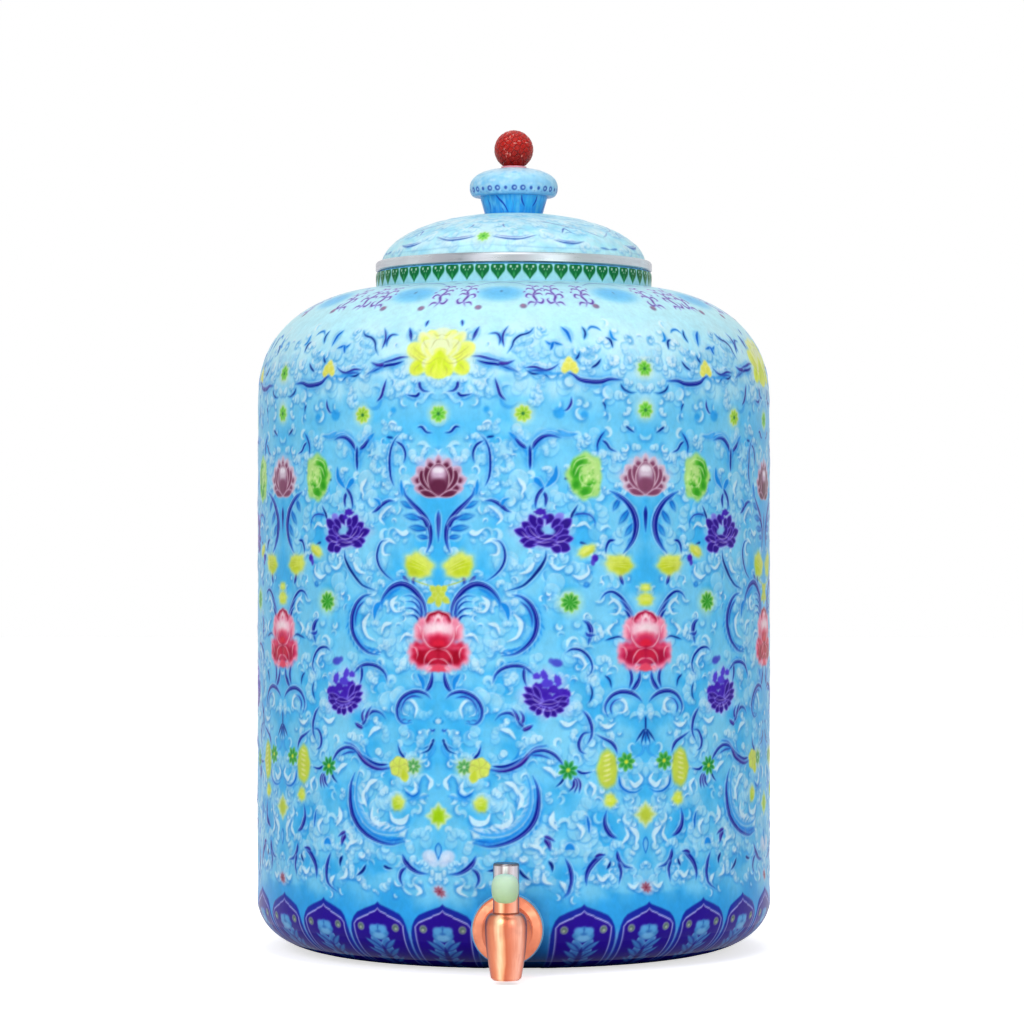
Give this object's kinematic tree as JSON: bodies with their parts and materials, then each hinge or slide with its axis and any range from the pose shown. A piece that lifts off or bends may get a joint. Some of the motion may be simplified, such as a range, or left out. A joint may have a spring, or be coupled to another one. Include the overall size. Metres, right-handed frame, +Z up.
{
  "type": "glazed clay water pot with tap",
  "caption": "Glazed clay water pot with a lift-off lid, and a push-lever tap low on its front that springs shut by itself.",
  "frame": {"origin": "centre of the flat underside, on the surface that the pot stands on", "axes": "+Z up along the pot's axis, the tap points along -Y, +X to the right seen from the tap"},
  "size_m": [0.259, 0.3118, 0.4155],
  "materials": {
    "glazed_clay": "painted and glazed outside, bare clay inside",
    "trim_metal": "satin polished ring",
    "ball_glaze": "glossy carved red",
    "soft_washer": "soft pink washer",
    "copper": "polished copper",
    "polished_cap": "polished",
    "steel": "turned stainless steel",
    "seal_rubber": "matt",
    "jade": "matt pale green stone"
  },
  "bodies": {
    "pot": {"vessel": "glazed_clay", "tap_outer_seal": "seal_rubber", "tap_flange": "copper", "tap_body": "copper", "tap_inner_seal": "seal_rubber", "tap_slip_washer": "steel", "tap_backnut": "copper", "housing_gasket": "seal_rubber", "valve_housing": "copper", "rod_seal": "seal_rubber", "valve_cap": "polished_cap", "valve_spring": "steel", "lever_pin": "steel"},
    "lid_set": {"lid": "glazed_clay", "lid_trim_ring": "trim_metal", "knob": "glazed_clay", "finial_washer": "soft_washer", "finial_ball": "ball_glaze", "knob_stud": "steel", "knob_washer": "steel", "knob_nut": "steel"},
    "lever_set": {"lever": "steel", "lever_grip": "jade"},
    "plunger": {"plunger_rod": "steel", "plunger_plug": "seal_rubber", "lift_collar": "steel"}
  },
  "joints": [
    {"name": "lid_lift", "type": "slide", "parent": "pot", "child": "lid_set", "axis": [0, 0, 1], "range_m": [0, 0.12]},
    {"name": "lever_press", "type": "hinge", "parent": "pot", "child": "lever_set", "pos_m": [0, -0.162, 0.0426], "axis": [1, 0, 0], "range_deg": [0, 20], "stiffness_Nm_per_rad": 0.05, "springref_deg": -20.05},
    {"name": "plunger_lift", "type": "slide", "parent": "pot", "child": "plunger", "axis": [0, 0, 1], "range_m": [0, 0.0015], "deforming": ["valve_spring"]}
  ],
  "couplings": [
    {"joint": "plunger_lift", "follows": "lever_press", "m_per_rad": 0.004}
  ]
}
